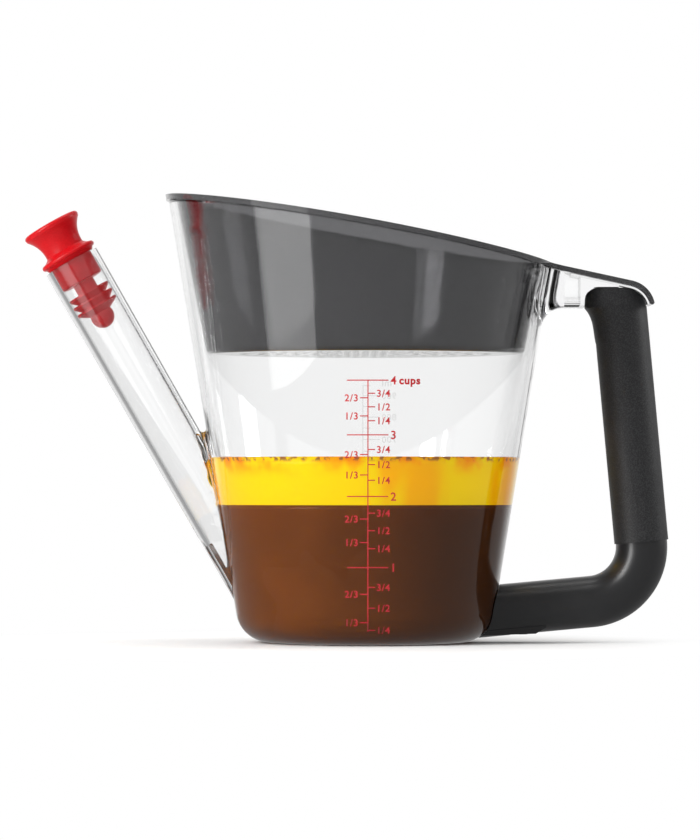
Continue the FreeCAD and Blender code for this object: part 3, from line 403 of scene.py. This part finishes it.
def smoke_plastic(finish):
    """Dark see-through plastic, a little cloudier where hands have been."""
    material, tree, shader = new_material("smoke_plastic")
    marks = use_group(tree, handling_group(), Roughness=0.05, Smudge=0.03, Scratch=0.02)
    grain = use_group(tree, grain_group(), Scale=24.0, Waviness=1.0)
    cloudy = blend_colour(tree, marks.outputs["Marks"], SMOKE, SMOKE_SMUDGE)
    plug_surface(tree, shader, cloudy, marks)
    set_numbers(shader, Transmission_Weight=0.87, IOR=1.49)
    plug_bump(tree, shader, grain, 0.01, 0.4 * MM)
    plug_depth(tree, opaque(finish.smoke), finish.smoke_depth)
    return material


def red_silicone(finish):
    """Satin silicone that lets a little light in, with dust in its fine grain, and a painted glow that
    lifts its red where it sits in shade.
    """
    material, tree, shader = new_material("red_silicone")
    marks = use_group(tree, handling_group(), Roughness=0.33, Smudge=0.14, Scratch=0.03)
    grain = use_group(tree, grain_group(), Scale=1500.0, Waviness=0.4)
    dust = math_node(tree, "MULTIPLY", grain.outputs["Dips"], 0.25)
    dusty = blend_colour(tree, dust, opaque(finish.silicone), SILICONE_DUST)
    plug_surface(tree, shader, dusty, marks)
    # Painted light: the silicone's colour glows faintly, lifting the red of the ribs that sit in shade
    # inside the spout
    tree.links.new(dusty, shader.inputs["Emission Color"])
    set_numbers(shader, Emission_Strength=0.55, Specular_IOR_Level=0.20,
                Subsurface_Weight=0.15, Subsurface_Radius=(4 * MM, 0.8 * MM, 0.6 * MM))
    plug_bump(tree, shader, grain, 0.12, 0.1 * MM)
    return material


def hard_black(finish):
    """Satin moulded plastic, rubbed a little greyer in places."""
    material, tree, shader = new_material("hard_black")
    marks = use_group(tree, handling_group(), Roughness=0.30, Smudge=0.12, Scratch=0.06)
    grain = use_group(tree, grain_group(), Scale=1300.0, Waviness=0.4)
    rubbed = blend_colour(tree, marks.outputs["Marks"], opaque(finish.hard), HARD_RUBBED)
    plug_surface(tree, shader, rubbed, marks)
    set_numbers(shader, Specular_IOR_Level=0.45)
    plug_bump(tree, shader, grain, 0.16, 0.1 * MM)
    return material


def soft_black(finish):
    """Soft-touch rubber: matt, finely pebbled, faintly grey in its dips."""
    material, tree, shader = new_material("soft_black")
    marks = use_group(tree, handling_group(), Roughness=0.52, Smudge=0.10, Scratch=0.02)
    grain = use_group(tree, grain_group(), Scale=2200.0, Waviness=0.5)
    dips = math_node(tree, "MULTIPLY", grain.outputs["Dips"], 0.5)
    pebbled = blend_colour(tree, dips, opaque(finish.soft), SOFT_DIPS)
    plug_surface(tree, shader, pebbled, marks)
    set_numbers(shader, Specular_IOR_Level=0.3)
    plug_bump(tree, shader, grain, 0.22, 0.12 * MM)
    return material


def plain_steel():
    """Turned stainless steel."""
    material, tree, shader = new_material("plain_steel")
    marks = use_group(tree, handling_group(), Roughness=0.28, Smudge=0.1, Scratch=0.2)
    grain = use_group(tree, grain_group(), Scale=1800.0, Waviness=0.2)
    plug_surface(tree, shader, blend_colour(tree, grain.outputs["Dips"], STEEL, STEEL_DIPS), marks)
    set_numbers(shader, Metallic=1.0)
    return material


def scale_ink(finish):
    """Screen-printed ink: red from outside, pale grey where its back shows through the wall."""
    material, tree, shader = new_material("scale_ink")
    grain = use_group(tree, grain_group(), Scale=2600.0, Waviness=0.3)
    dips = math_node(tree, "MULTIPLY", grain.outputs["Dips"], 0.3)
    speckled = blend_colour(tree, dips, opaque(finish.ink), INK_WORN)
    back = tree.nodes.new("ShaderNodeNewGeometry").outputs["Backfacing"]
    tree.links.new(blend_colour(tree, back, speckled, INK_BACK), shader.inputs["Base Color"])
    seen_through = math_node(tree, "MULTIPLY", back, 0.82)
    tree.links.new(math_node(tree, "SUBTRACT", 1.0, seen_through), shader.inputs["Alpha"])
    set_numbers(shader, Roughness=0.38)
    plug_bump(tree, shader, grain, 0.1, 0.05 * MM)
    return material


def gravy_material(liquids):
    """Thick brown gravy with drifts, with painted shade darkening it towards the handle's side, and
    darker at its base.
    """
    material, tree, shader = new_material("gravy")
    place = tree.nodes.new("ShaderNodeTexCoord").outputs["Object"]
    drift = noise(tree, place, 14.0, 3.0)
    paler = tuple(1.15 * channel for channel in liquids.gravy)
    darker = tuple(0.82 * channel for channel in liquids.gravy)
    tone = blend_colour(tree, between(tree, drift, 0.35, 0.68), opaque(darker), opaque(paler))
    spot = parts_of(tree, place)
    # Painted shade: the gravy turns to its shaded colour from the lit left side towards the handle's side
    shade = between(tree, spot["X"], -40 * MM, 45 * MM)
    tone = blend_colour(tree, shade, tone, opaque(liquids.gravy_shade))
    base = between(tree, spot["Z"], 0.0, 7 * MM, 0.5, 0.0)
    tree.links.new(blend_colour(tree, base, tone, GRAVY_BASE), shader.inputs["Base Color"])
    tree.links.new(between(tree, drift, 0.3, 0.7, 0.22, 0.34), shader.inputs["Roughness"])
    set_numbers(shader, Specular_IOR_Level=0.08)
    return material


def fat_material(liquids):
    """Clear yellow fat, orange in drifts and towards its sides, with flecks at its rim, and a painted
    glow standing in for the light that shines through it.
    """
    material, tree, shader = new_material("fat")
    place = tree.nodes.new("ShaderNodeTexCoord").outputs["Object"]
    height = parts_of(tree, place)["Z"]
    level = node(tree, "ShaderNodeMapping", Vector=place, Scale=(1.0, 1.0, 0.0)).outputs[0]
    reach = vector_node(tree, "LENGTH", level).outputs["Value"]
    at_wall = between(tree, reach, 30 * MM, 50 * MM, 0.12, 1.0)

    cloud = noise(tree, place, 55.0, 3.0)
    near_top = between(tree, height, liquids.fat_top - 9 * MM, liquids.fat_top - 0.4 * MM)
    near_top = math_node(tree, "MULTIPLY", near_top, at_wall)
    drift = math_node(tree, "MULTIPLY", near_top, between(tree, cloud, 0.44, 0.60))
    upright = node(tree, "ShaderNodeMapping", Vector=place, Scale=(1.0, 1.0, 0.12)).outputs[0]
    curtain = between(tree, noise(tree, upright, 48.0, 2.0), 0.52, 0.66)
    curtain = math_node(tree, "MULTIPLY", curtain, 0.55)
    facing = node(tree, "ShaderNodeLayerWeight", Blend=0.25).outputs["Facing"]
    facing = math_node(tree, "MULTIPLY", facing, 0.5)
    deep = math_node(tree, "ADD", facing, math_node(tree, "MAXIMUM", drift, curtain), clamp=True)
    tone = blend_colour(tree, deep, opaque(liquids.fat), opaque(liquids.fat_edge))

    rim = between(tree, height, liquids.fat_top - 2.4 * MM, liquids.fat_top - 0.6 * MM)
    rim = math_node(tree, "MULTIPLY", rim, at_wall)
    fleck = math_node(tree, "MULTIPLY", rim, between(tree, noise(tree, place, 420.0, 2.0), 0.47, 0.6))
    tone = blend_colour(tree, fleck, tone, FAT_FLECK)
    tree.links.new(tone, shader.inputs["Base Color"])
    # Painted light: the fat's colour also glows (Emission Strength set below), standing in for the light
    # shining through it from behind
    tree.links.new(tone, shader.inputs["Emission Color"])
    tree.links.new(between(tree, cloud, 0.3, 0.7, 0.12, 0.2), shader.inputs["Roughness"])
    set_numbers(shader, Emission_Strength=0.35, Specular_IOR_Level=0.05)
    return material


def floor_material(mirrored):
    """White board that keeps the object's shadow and fades to the backdrop's white.

    Reflections see it as the world's: as bright as the backdrop behind the object, and dim elsewhere.
    """
    material, tree, shader = new_material("floor_board")
    place = tree.nodes.new("ShaderNodeTexCoord").outputs["Object"]
    tone = blend_colour(tree, noise(tree, place, 300.0, 2.0), BOARD, BOARD_GRAIN)
    tree.links.new(tone, shader.inputs["Base Color"])
    set_numbers(shader, Roughness=0.6, Specular_IOR_Level=0.2)

    path = tree.nodes.new("ShaderNodeLightPath").outputs
    seen = math_node(tree, "MAXIMUM", path["Is Camera Ray"], path["Is Transmission Ray"])
    shadow_middle = (-20 * MM, -30 * MM, 0.0)
    reach = vector_node(tree, "DISTANCE", place, shadow_middle).outputs["Value"]
    far = between(tree, reach, 80 * MM, 170 * MM)
    white = node(tree, "ShaderNodeEmission", Color=WHITE, Strength=1.0).outputs[0]
    faded = blend_shader(tree, math_node(tree, "MULTIPLY", seen, far), shader.outputs[0], white)

    way = parts_of(tree, vector_node(tree, "NORMALIZE", place).outputs["Vector"])
    behind = between(tree, way["Y"], *BACKDROP_EDGE, mirrored, 0.9)
    dim = node(tree, "ShaderNodeEmission", Color=WHITE, Strength=behind).outputs[0]
    surface = blend_shader(tree, path["Is Glossy Ray"], faded, dim)
    tree.links.new(surface, tree.nodes["Material Output"].inputs["Surface"])
    return material


def paint(name, material):
    """Give a CAD node a material in every slot."""
    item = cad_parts[name]
    for slot in item.material_slots:
        slot.material = material


# Printed scales

class PrintSheet:
    """Gathers flat ink shapes and lays them on the cup's wall."""

    def __init__(self, tree, side, scale):
        self.tree, self.side, self.scale = tree, side, scale
        self.bm = bmesh.new()

    def lay(self, corners):
        """Add one face whose corners are (right of the middle line, height), seen from outside."""
        verts = []
        for right, height in corners:
            across = -self.side * (self.scale.middle + right)
            place, normal = wall_point(self.tree, across, height, self.side)
            verts.append(self.bm.verts.new(place + normal * self.scale.lift))
        self.bm.faces.new(verts)

    def bar(self, left, right, low, high):
        """A bar of ink, cut into short lengths so that it follows the wall."""
        pieces = max(1, round((right - left) / (1.5 * MM)))
        rows = max(1, round((high - low) / (4 * MM)))
        for column in range(pieces):
            for row in range(rows):
                x0 = left + (right - left) * column / pieces
                x1 = left + (right - left) * (column + 1) / pieces
                z0 = low + (high - low) * row / rows
                z1 = low + (high - low) * (row + 1) / rows
                self.lay([(x0, z0), (x1, z0), (x1, z1), (x0, z1)])

    def words(self, text, right, height, size, align="LEFT", boldness=REGULAR):
        """Lettering whose middle line is at a height."""
        capital = 0.70  # height of a capital, as a share of the font's size
        curve = bpy.data.curves.new("lettering", "FONT")
        curve.body = text
        curve.size = size / capital
        curve.align_x = align
        curve.resolution_u = 3
        curve.space_character = self.scale.spacing
        curve.offset = size * boldness
        carrier = bpy.data.objects.new("lettering", curve)
        flat = bpy.data.meshes.new_from_object(carrier)
        for face in flat.polygons:
            spots = [flat.vertices[number].co for number in face.vertices]
            self.lay([(right + spot.x, height - size / 2 + spot.y) for spot in spots])
        bpy.data.objects.remove(carrier)
        bpy.data.curves.remove(curve)
        bpy.data.meshes.remove(flat)

    def finish(self, name, material):
        """Make the object."""
        bmesh.ops.remove_doubles(self.bm, verts=self.bm.verts, dist=0.0001 * MM)
        item = mesh_object(name, self.bm)
        item.data.materials.append(material)
        return item


def mark_heights(tree, one_cup, amounts, unit):
    """Heights of marks for amounts of liquid, in units; the mark of one cup lies at one_cup."""
    step = 0.1 * MM
    heights = []
    for amount in amounts:
        wanted = amount * unit - CUP_VOLUME
        direction = 1 if wanted > 0 else -1
        height, volume = one_cup, 0.0
        while volume < abs(wanted):
            radius = cup_radius(tree, height) - CUP_WALL
            volume += math.pi * radius * radius * step
            height += direction * step
        heights.append(height)
    return heights


def cup_scale(tree, scale, material):
    """The cup scale on the front: thirds on the left, quarters on the right."""
    sheet = PrintSheet(tree, -1, scale)
    half = scale.line / 2
    wholes = mark_heights(tree, scale.one_cup, (1, 2, 3, 4), CUP_VOLUME)
    sheet.bar(-half, half, scale.foot, wholes[-1] + half)
    for number, height in enumerate(wholes, start=1):
        sheet.bar(-WHOLE_LEFT, WHOLE_RIGHT, height - half, height + half)
        sheet.words(str(number), WHOLE_NUMBER, height, scale.large_text)
    sheet.words("cups", CUPS_PLACE, wholes[-1], scale.large_text * UNIT_SIZE, boldness=BOLD)
    for whole in range(len(wholes)):
        for names, side, mark, name_place, align in FRACTIONS:
            amounts = [whole + number / (len(names) + 1) for number in range(1, len(names) + 1)]
            left, right = sorted((side * half, side * mark))
            for name, height in zip(names, mark_heights(tree, scale.one_cup, amounts, CUP_VOLUME)):
                sheet.bar(left, right, height - half, height + half)
                sheet.words(name, side * name_place, height, scale.small_text, align)
    return sheet.finish("cup_scale", material)


def millilitre_scale(tree, scale, material):
    """The millilitre scale on the back."""
    sheet = PrintSheet(tree, 1, scale)
    half = scale.line / 2
    amounts = range(100, 1000, 50)
    heights = mark_heights(tree, scale.one_cup, amounts, MILLILITRE)
    sheet.bar(-half, half, scale.foot, heights[-1] + half)
    for amount, height in zip(amounts, heights):
        hundred = amount % 100 == 0
        sheet.bar(-HUNDRED_MARK if hundred else -FIFTY_MARK, -half, height - half, height + half)
        if hundred:
            sheet.words(str(amount), -HUNDRED_NUMBER, height, scale.small_text, "RIGHT")
    unit_height = heights[-1] + MILLILITRES_RISE
    sheet.words("ml", -HUNDRED_NUMBER, unit_height, scale.large_text * UNIT_SIZE, "RIGHT")
    return sheet.finish("millilitre_scale", material)


# Liquids

def turned_solid(name, profile, material, turns=160):
    """A closed solid turned about the cup's middle line from (radius, height) points, bottom to top."""
    bm = bmesh.new()
    rings = []
    for radius, height in profile:
        ring = []
        for number in range(turns):
            angle = 2 * math.pi * number / turns
            ring.append(bm.verts.new((radius * math.cos(angle), radius * math.sin(angle), height)))
        rings.append(ring)
    for low, high in zip(rings, rings[1:]):
        for number in range(turns):
            after = (number + 1) % turns
            bm.faces.new((low[number], low[after], high[after], high[number]))
    bm.faces.new(reversed(rings[0]))
    bm.faces.new(rings[-1])
    for face in bm.faces:
        face.smooth = len(face.verts) == 4
    item = mesh_object(name, bm)
    item.data.materials.append(material)
    return item


def liquid_profile(tree, low, high, contact, steps):
    """Radii of a liquid against the inside of the cup, from low to high and closer together low down."""
    profile = []
    for number in range(steps + 1):
        height = low + (high - low) * (number / steps) ** 2
        inside, _, _, _ = tree.ray_cast(Vector((0, 0, height)), Vector((0, -1, 0)))
        profile.append((-inside.y + contact, height))
    return profile


# Operators

class SEPARATOR_OT_jug(bpy.types.Operator):
    """Give the clear jug its plastic"""

    bl_idname = "separator.jug"
    bl_label = "Jug"

    def execute(self, context):
        paint("jug", clear_plastic(context.scene.separator_finish))
        return {"FINISHED"}


class SEPARATOR_OT_strainer(bpy.types.Operator):
    """Give the strainer its smoke plastic"""

    bl_idname = "separator.strainer"
    bl_label = "Strainer"

    def execute(self, context):
        paint("strainer", smoke_plastic(context.scene.separator_finish))
        return {"FINISHED"}


class SEPARATOR_OT_stopper(bpy.types.Operator):
    """Give the stopper its silicone"""

    bl_idname = "separator.stopper"
    bl_label = "Stopper"

    def execute(self, context):
        paint("stopper", red_silicone(context.scene.separator_finish))
        return {"FINISHED"}


class SEPARATOR_OT_handle(bpy.types.Operator):
    """Give the handle's pieces their plastics and steel"""

    bl_idname = "separator.handle"
    bl_label = "Handle"

    def execute(self, context):
        finish = context.scene.separator_finish
        soft = soft_black(finish)
        paint("handle_frame", hard_black(finish))
        paint("grip_sleeve", soft)
        paint("screw_plug", soft)
        paint("handle_screw", plain_steel())
        return {"FINISHED"}


class SEPARATOR_OT_scales(bpy.types.Operator):
    """Print the scales on the cup"""

    bl_idname = "separator.scales"
    bl_label = "Scales"

    def execute(self, context):
        scale = context.scene.separator_scale
        ink = scale_ink(context.scene.separator_finish)
        tree = ray_tree("jug")
        cup_scale(tree, scale, ink)
        millilitre_scale(tree, scale, ink)
        return {"FINISHED"}


class SEPARATOR_OT_liquids(bpy.types.Operator):
    """Fill the jug with gravy and fat"""

    bl_idname = "separator.liquids"
    bl_label = "Liquids"

    def execute(self, context):
        liquids = context.scene.separator_liquids
        if not liquids.shown:
            return {"FINISHED"}
        tree = ray_tree("jug")
        contact = liquids.contact
        floor, _, _, _ = tree.ray_cast(Vector((0, 0, liquids.gravy_top)), Vector((0, 0, -1)))
        first_ring, foot_inset, parting = 0.2 * MM, 1.4 * MM, 0.01 * MM
        gravy = liquid_profile(tree, floor.z + first_ring, liquids.gravy_top, contact, steps=60)
        gravy.insert(0, (gravy[0][0] - foot_inset, floor.z - contact))
        turned_solid("gravy", gravy, gravy_material(liquids))
        fat = liquid_profile(tree, liquids.gravy_top + parting, liquids.fat_top, contact, steps=12)
        turned_solid("fat", fat, fat_material(liquids))
        return {"FINISHED"}


# Studio

def add_camera(scene, studio):
    """The camera of the photograph's view."""
    data = bpy.data.cameras.new("camera")
    data.sensor_fit = "VERTICAL"
    data.sensor_height = 36.0
    data.lens = studio.lens
    data.shift_y = studio.shift
    data.clip_end = 20.0
    camera = bpy.data.objects.new("camera", data)
    scene.collection.objects.link(camera)
    camera.location = (studio.aside, -studio.distance, studio.eye)
    camera.rotation_euler = (math.pi / 2, 0, 0)
    scene.camera = camera


def add_floor(scene, studio):
    """A wide round floor just under the foot."""
    bm = bmesh.new()
    bmesh.ops.create_circle(bm, cap_ends=True, radius=6.0, segments=96)
    mesh = bpy.data.meshes.new("floor")
    bm.to_mesh(mesh)
    bm.free()
    floor = bpy.data.objects.new("floor", mesh)
    scene.collection.objects.link(floor)
    floor.location.z = -0.2 * MM
    mesh.materials.append(floor_material(studio.room_mirrored))


def add_lamp(scene, name, place, aim, size, power):
    """A rectangular soft lamp aimed at a height over the cup's middle."""
    light = bpy.data.lights.new(name, "AREA")
    light.shape = "RECTANGLE"
    light.size, light.size_y = size
    light.energy = power
    lamp = bpy.data.objects.new(name, light)
    scene.collection.objects.link(lamp)
    lamp.location = place
    lamp.rotation_euler = (Vector((0, 0, aim)) - Vector(place)).to_track_quat("-Z", "Y").to_euler()
    lamp.visible_camera = False


def add_backdrop(scene, studio):
    """A white backdrop, seen through glass too; reflections find it only behind the object."""
    world = bpy.data.worlds.new("backdrop")
    scene.world = world
    world.use_nodes = True
    tree = world.node_tree
    path = tree.nodes.new("ShaderNodeLightPath").outputs
    seen = math_node(tree, "MAXIMUM", path["Is Camera Ray"], path["Is Transmission Ray"])
    way = parts_of(tree, tree.nodes.new("ShaderNodeTexCoord").outputs["Generated"])
    room = studio.room
    mirrored = between(tree, way["Y"], *BACKDROP_EDGE, studio.room_mirrored - room, 1.0 - room)
    mirrored = math_node(tree, "MULTIPLY", path["Is Glossy Ray"], mirrored)
    strength = math_node(tree, "MAXIMUM", seen, math_node(tree, "ADD", mirrored, room))
    background = tree.nodes["Background"]
    background.inputs["Color"].default_value = WHITE
    tree.links.new(strength, background.inputs["Strength"])


class SEPARATOR_OT_studio(bpy.types.Operator):
    """Set up the camera, the lamps and the white floor and backdrop"""

    bl_idname = "separator.studio"
    bl_label = "Studio"

    def execute(self, context):
        scene = context.scene
        studio = scene.separator_studio
        add_camera(scene, studio)
        add_floor(scene, studio)
        for name, (place, aim, size, power) in LAMPS.items():
            add_lamp(scene, name, place, aim, size, power)
        add_backdrop(scene, studio)
        scene.view_settings.view_transform = "Standard"
        return {"FINISHED"}


class SEPARATOR_PT_panel(bpy.types.Panel):
    """Lists the separator's makers and settings"""

    bl_label = "Gravy separator"
    bl_space_type = "VIEW_3D"
    bl_region_type = "UI"
    bl_category = "Separator"

    def draw(self, context):
        for operator in OPERATORS:
            self.layout.operator(operator.bl_idname)
        for title, _ in GROUPS:
            group = getattr(context.scene, title)
            box = self.layout.box()
            for name in group.__annotations__:
                box.prop(group, name)


OPERATORS = (
    SEPARATOR_OT_studio,
    SEPARATOR_OT_jug,
    SEPARATOR_OT_strainer,
    SEPARATOR_OT_stopper,
    SEPARATOR_OT_handle,
    SEPARATOR_OT_scales,
    SEPARATOR_OT_liquids,
)
GROUPS = (
    ("separator_finish", SeparatorFinish),
    ("separator_liquids", SeparatorLiquids),
    ("separator_scale", SeparatorScale),
    ("separator_studio", SeparatorStudio),
)


def register():
    """Register the classes and hang the settings on the scene."""
    for name, group in GROUPS:
        bpy.utils.register_class(group)
        setattr(bpy.types.Scene, name, PointerProperty(type=group))
    for item in (*OPERATORS, SEPARATOR_PT_panel):
        bpy.utils.register_class(item)


def unregister():
    """Undo register."""
    for item in (SEPARATOR_PT_panel, *reversed(OPERATORS)):
        bpy.utils.unregister_class(item)
    for name, group in reversed(GROUPS):
        delattr(bpy.types.Scene, name)
        bpy.utils.unregister_class(group)


def main():
    """Dress the part, piece by piece."""
    register()
    bpy.ops.separator.studio()
    bpy.ops.separator.jug()
    bpy.ops.separator.strainer()
    bpy.ops.separator.stopper()
    bpy.ops.separator.handle()
    bpy.ops.separator.scales()
    bpy.ops.separator.liquids()


if __name__ == "__main__":
    main()
